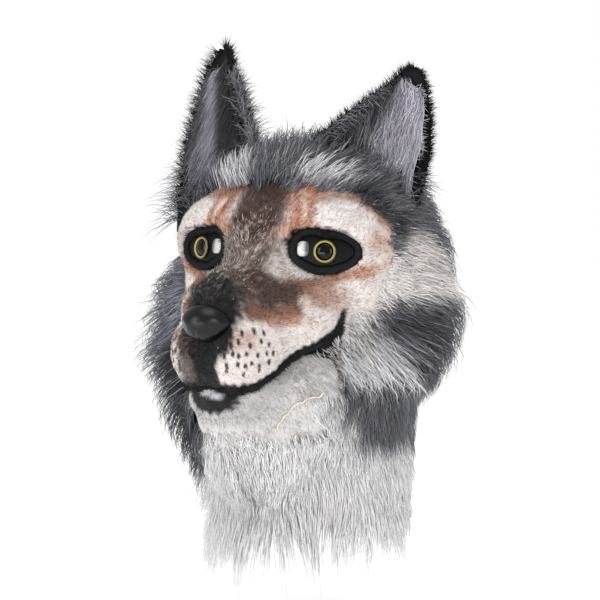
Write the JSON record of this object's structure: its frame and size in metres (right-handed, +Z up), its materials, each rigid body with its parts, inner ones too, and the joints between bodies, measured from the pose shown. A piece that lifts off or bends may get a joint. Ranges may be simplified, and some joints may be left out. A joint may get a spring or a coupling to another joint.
{
  "type": "wolf mask",
  "caption": "Full-head wolf costume mask: padded hood with a short plush face, cupped ears, domed eyes, a moulded nose and a deep fur ruff over an open neck.",
  "frame": {"origin": "inside the crown, where the top of a wearer's head meets the hood", "axes": "+Z up through the crown, -Y the way the muzzle points, +X towards the wolf's own left ear"},
  "size_m": [0.3195, 0.3125, 0.4454],
  "materials": {
    "backing_cloth": "grey knitted backing under the fur",
    "face_plush": "short plush pile printed in brown, rust and cream",
    "jaw_fleece": "short off-white fleece",
    "nose_plastic": "black moulded plastic with a satin sheen",
    "black_plush": "very short black plush",
    "eye_black": "glossy black",
    "iris_gold": "glossy olive gold",
    "eye_white": "glossy white",
    "ear_plush": "short black fur",
    "lining_fur": "long pale lavender-grey fur",
    "grey_fur": "long fake fur in greys with charcoal and pale patches",
    "white_fur": "long white fake fur"
  },
  "bodies": {
    "root": {"hood": "backing_cloth", "face_panel": "face_plush", "lower_jaw": "jaw_fleece", "nose": "nose_plastic", "lip_upper": "black_plush", "eye_plate_left": "eye_black", "eye_plate_right": "eye_black", "iris_left": "iris_gold", "iris_right": "iris_gold", "pupil_left": "eye_black", "pupil_right": "eye_black", "sclera_left": "eye_white", "sclera_right": "eye_white", "eye_rim_left": "black_plush", "eye_rim_right": "black_plush", "ear_left": "ear_plush", "ear_right": "ear_plush", "ear_lining_left": "lining_fur", "ear_lining_right": "lining_fur", "crown_fur": "grey_fur", "ruff_left": "grey_fur", "ruff_right": "grey_fur", "mane": "grey_fur", "throat_fur": "white_fur"}
  },
  "joints": []
}
